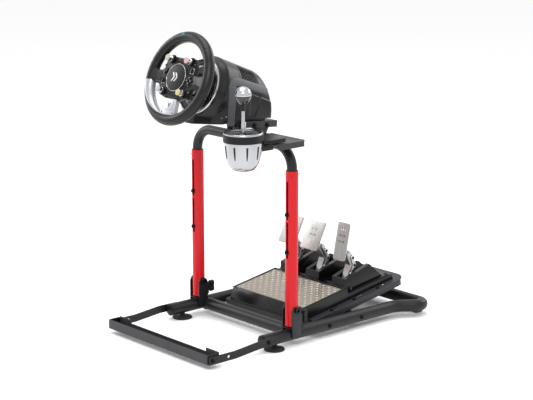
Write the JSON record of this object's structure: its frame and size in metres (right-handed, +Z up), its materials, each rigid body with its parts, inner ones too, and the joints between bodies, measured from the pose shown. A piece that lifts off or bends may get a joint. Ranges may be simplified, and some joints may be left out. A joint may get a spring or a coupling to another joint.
{
  "type": "racing wheel rig",
  "caption": "Folding tubular wheel stand with a force-feedback wheel base, steering wheel, H-pattern shifter and inclined pedal set, all on hinged, sliding and sprung joints.",
  "frame": {"origin": "on the floor under the middle of the bounding box", "axes": "+X to the driver's right, +Y away from the driver towards the pedals' far end, +Z up"},
  "size_m": [0.5578, 0.8865, 0.9292],
  "materials": {
    "frame_black": "satin powder coat",
    "post_red": "gloss powder coat",
    "zinc_steel": "zinc plated",
    "deck_grey": "satin powder coat",
    "black_plastic": "fine grain",
    "housing_plastic": "satin",
    "black_rubber": "matte",
    "rim_leather": "smooth, worn satin",
    "tread_plate": "raised tread, satin",
    "brushed_alloy": "brushed",
    "polished_metal": "polished",
    "cap_green": "gloss",
    "cap_pink": "gloss",
    "cap_blue": "gloss",
    "cap_yellow": "gloss"
  },
  "bodies": {
    "base": {"base_frame": "frame_black", "rear_pad_left": "black_rubber", "rear_pad_right": "black_rubber", "post_bracket_left": "frame_black", "post_bracket_right": "frame_black", "pivot_bolt_left": "zinc_steel", "pivot_bolt_right": "zinc_steel", "footrest_bar": "frame_black", "footrest_arm_left": "frame_black", "footrest_arm_right": "frame_black", "pedal_deck": "deck_grey", "pedal_base": "black_plastic", "heel_plate": "tread_plate"},
    "levelling_foot_left": {"levelling_foot_left": "black_rubber"},
    "levelling_foot_right": {"levelling_foot_right": "black_rubber"},
    "lock_knob_left": {"lock_knob_left": "black_plastic"},
    "lock_knob_right": {"lock_knob_right": "black_plastic"},
    "posts": {"post_left": "post_red", "post_right": "post_red"},
    "upper": {"hoop_tube": "frame_black", "wheel_mount_bracket": "frame_black", "shifter_shelf": "deck_grey", "shifter_body": "polished_metal", "shifter_clamp": "black_plastic", "gate_plate": "polished_metal"},
    "wheel_base": {"wheel_deck": "frame_black", "base_floor": "black_plastic", "base_housing_front": "housing_plastic", "base_housing_rear": "housing_plastic", "drive_motor": "zinc_steel", "drive_belt": "black_rubber"},
    "steering": {"wheel_rim": "rim_leather", "button_plate": "black_plastic", "lower_spoke": "brushed_alloy", "hub_cap": "black_plastic", "column_shaft": "zinc_steel", "column_pulley": "zinc_steel"},
    "motor_rotor": {"motor_pulley": "zinc_steel"},
    "paddle_left": {"shift_paddle_left": "brushed_alloy"},
    "paddle_right": {"shift_paddle_right": "brushed_alloy"},
    "mini_stick_left": {"mini_stick_left": "zinc_steel"},
    "mini_stick_right": {"mini_stick_right": "zinc_steel"},
    "rotary_top_left": {"rotary_knob_top_left": "cap_green"},
    "rotary_top_right": {"rotary_knob_top_right": "cap_pink"},
    "rotary_bottom_left": {"rotary_knob_bottom_left": "cap_blue"},
    "rotary_bottom_right": {"rotary_knob_bottom_right": "cap_yellow"},
    "direction_pad": {"direction_pad": "black_plastic"},
    "button_up": {"action_button_up": "black_plastic"},
    "button_down": {"action_button_down": "black_plastic"},
    "button_left": {"action_button_left": "black_plastic"},
    "button_right": {"action_button_right": "black_plastic"},
    "gimbal": {"gimbal_ring": "zinc_steel"},
    "lever": {"shift_lever": "polished_metal", "shift_knob": "polished_metal"},
    "clutch": {"clutch_arm": "brushed_alloy", "clutch_face": "brushed_alloy"},
    "brake": {"brake_arm": "brushed_alloy", "brake_face": "brushed_alloy"},
    "throttle": {"throttle_arm": "brushed_alloy", "throttle_face": "brushed_alloy"}
  },
  "joints": [
    {"name": "foot_turn_left", "type": "hinge", "parent": "base", "child": "levelling_foot_left", "pos_m": [-0.217, -0.1735, 0.01], "axis": [0, 0, 1], "continuous": true},
    {"name": "lock_knob_turn_left", "type": "hinge", "parent": "base", "child": "lock_knob_left", "pos_m": [-0.217, -0.0655, 0.085], "axis": [0, 1, 0], "continuous": true},
    {"name": "foot_turn_right", "type": "hinge", "parent": "base", "child": "levelling_foot_right", "pos_m": [0.217, -0.1735, 0.01], "axis": [0, 0, 1], "continuous": true},
    {"name": "lock_knob_turn_right", "type": "hinge", "parent": "base", "child": "lock_knob_right", "pos_m": [0.217, -0.0655, 0.085], "axis": [0, 1, 0], "continuous": true},
    {"name": "post_fold", "type": "hinge", "parent": "base", "child": "posts", "pos_m": [0, -0.1055, 0.112], "axis": [-1, 0, 0], "range_deg": [0, 62]},
    {"name": "height_slide", "type": "slide", "parent": "posts", "child": "upper", "axis": [0, 0, 1], "range_m": [-0.01, 0.086]},
    {"name": "deck_tilt", "type": "hinge", "parent": "upper", "child": "wheel_base", "pos_m": [0, -0.08776, 0.642], "axis": [1, 0, 0], "range_deg": [-4, 4]},
    {"name": "steering_turn", "type": "hinge", "parent": "wheel_base", "child": "steering", "pos_m": [0, -0.347, 0.7988], "axis": [0, -0.9265, 0.3762], "range_deg": [-540, 540]},
    {"name": "motor_turn", "type": "hinge", "parent": "wheel_base", "child": "motor_rotor", "pos_m": [0, -0.16489, 0.78745], "axis": [0, -0.9265, 0.3762], "range_deg": [-2270, 2270]},
    {"name": "paddle_pull_left", "type": "hinge", "parent": "steering", "child": "paddle_left", "pos_m": [-0.031, -0.32801, 0.79109], "axis": [0, 0.3762, 0.9265], "range_deg": [0, 4], "stiffness_Nm_per_rad": 1.2, "springref_deg": -2.86},
    {"name": "mini_stick_tilt_left", "type": "hinge", "parent": "steering", "child": "mini_stick_left", "pos_m": [-0.057, -0.35996, 0.78895], "axis": [1, 0, 0], "range_deg": [-12, 12], "stiffness_Nm_per_rad": 0.06},
    {"name": "paddle_pull_right", "type": "hinge", "parent": "steering", "child": "paddle_right", "pos_m": [0.031, -0.32801, 0.79109], "axis": [0, -0.3762, -0.9265], "range_deg": [0, 4], "stiffness_Nm_per_rad": 1.2, "springref_deg": -2.86},
    {"name": "mini_stick_tilt_right", "type": "hinge", "parent": "steering", "child": "mini_stick_right", "pos_m": [0.057, -0.34491, 0.82601], "axis": [1, 0, 0], "range_deg": [-12, 12], "stiffness_Nm_per_rad": 0.06},
    {"name": "rotary_turn_top_left", "type": "hinge", "parent": "steering", "child": "rotary_top_left", "pos_m": [-0.043, -0.33708, 0.84981], "axis": [0, -0.9265, 0.3762], "continuous": true},
    {"name": "rotary_turn_top_right", "type": "hinge", "parent": "steering", "child": "rotary_top_right", "pos_m": [0.043, -0.33708, 0.84981], "axis": [0, -0.9265, 0.3762], "continuous": true},
    {"name": "rotary_turn_bottom_left", "type": "hinge", "parent": "steering", "child": "rotary_bottom_left", "pos_m": [-0.046, -0.37244, 0.76272], "axis": [0, -0.9265, 0.3762], "continuous": true},
    {"name": "rotary_turn_bottom_right", "type": "hinge", "parent": "steering", "child": "rotary_bottom_right", "pos_m": [0.046, -0.37244, 0.76272], "axis": [0, -0.9265, 0.3762], "continuous": true},
    {"name": "direction_pad_tilt", "type": "hinge", "parent": "steering", "child": "direction_pad", "pos_m": [-0.057, -0.34867, 0.81675], "axis": [1, 0, 0], "range_deg": [-5, 5], "stiffness_Nm_per_rad": 0.06},
    {"name": "button_press_up", "type": "slide", "parent": "steering", "child": "button_up", "axis": [0, 0.9265, -0.3762], "range_m": [0, 0.0015], "stiffness_N_per_m": 400, "springref_m": -0.0008},
    {"name": "button_press_down", "type": "slide", "parent": "steering", "child": "button_down", "axis": [0, 0.9265, -0.3762], "range_m": [0, 0.0015], "stiffness_N_per_m": 400, "springref_m": -0.0008},
    {"name": "button_press_left", "type": "slide", "parent": "steering", "child": "button_left", "axis": [0, 0.9265, -0.3762], "range_m": [0, 0.0015], "stiffness_N_per_m": 400, "springref_m": -0.0008},
    {"name": "button_press_right", "type": "slide", "parent": "steering", "child": "button_right", "axis": [0, 0.9265, -0.3762], "range_m": [0, 0.0015], "stiffness_N_per_m": 400, "springref_m": -0.0008},
    {"name": "lever_across", "type": "hinge", "parent": "upper", "child": "gimbal", "pos_m": [0.206, -0.2825, 0.609], "axis": [0, 1, 0], "range_deg": [-13.5, 13.5], "stiffness_Nm_per_rad": 3},
    {"name": "lever_along", "type": "hinge", "parent": "gimbal", "child": "lever", "pos_m": [0.206, -0.2825, 0.609], "axis": [1, 0, 0], "range_deg": [-13.5, 13.5]},
    {"name": "clutch_press", "type": "hinge", "parent": "base", "child": "clutch", "pos_m": [-0.12, 0.19878, 0.10392], "axis": [-1, 0, 0], "range_deg": [0, 16], "stiffness_Nm_per_rad": 12, "springref_deg": -14.32},
    {"name": "brake_press", "type": "hinge", "parent": "base", "child": "brake", "pos_m": [0, 0.19878, 0.10392], "axis": [-1, 0, 0], "range_deg": [0, 16], "stiffness_Nm_per_rad": 40, "springref_deg": -8.59},
    {"name": "throttle_press", "type": "hinge", "parent": "base", "child": "throttle", "pos_m": [0.12, 0.19878, 0.10392], "axis": [-1, 0, 0], "range_deg": [0, 16], "stiffness_Nm_per_rad": 8, "springref_deg": -14.32}
  ],
  "couplings": [
    {"joint": "motor_turn", "follows": "steering_turn", "ratio": 4.2}
  ]
}
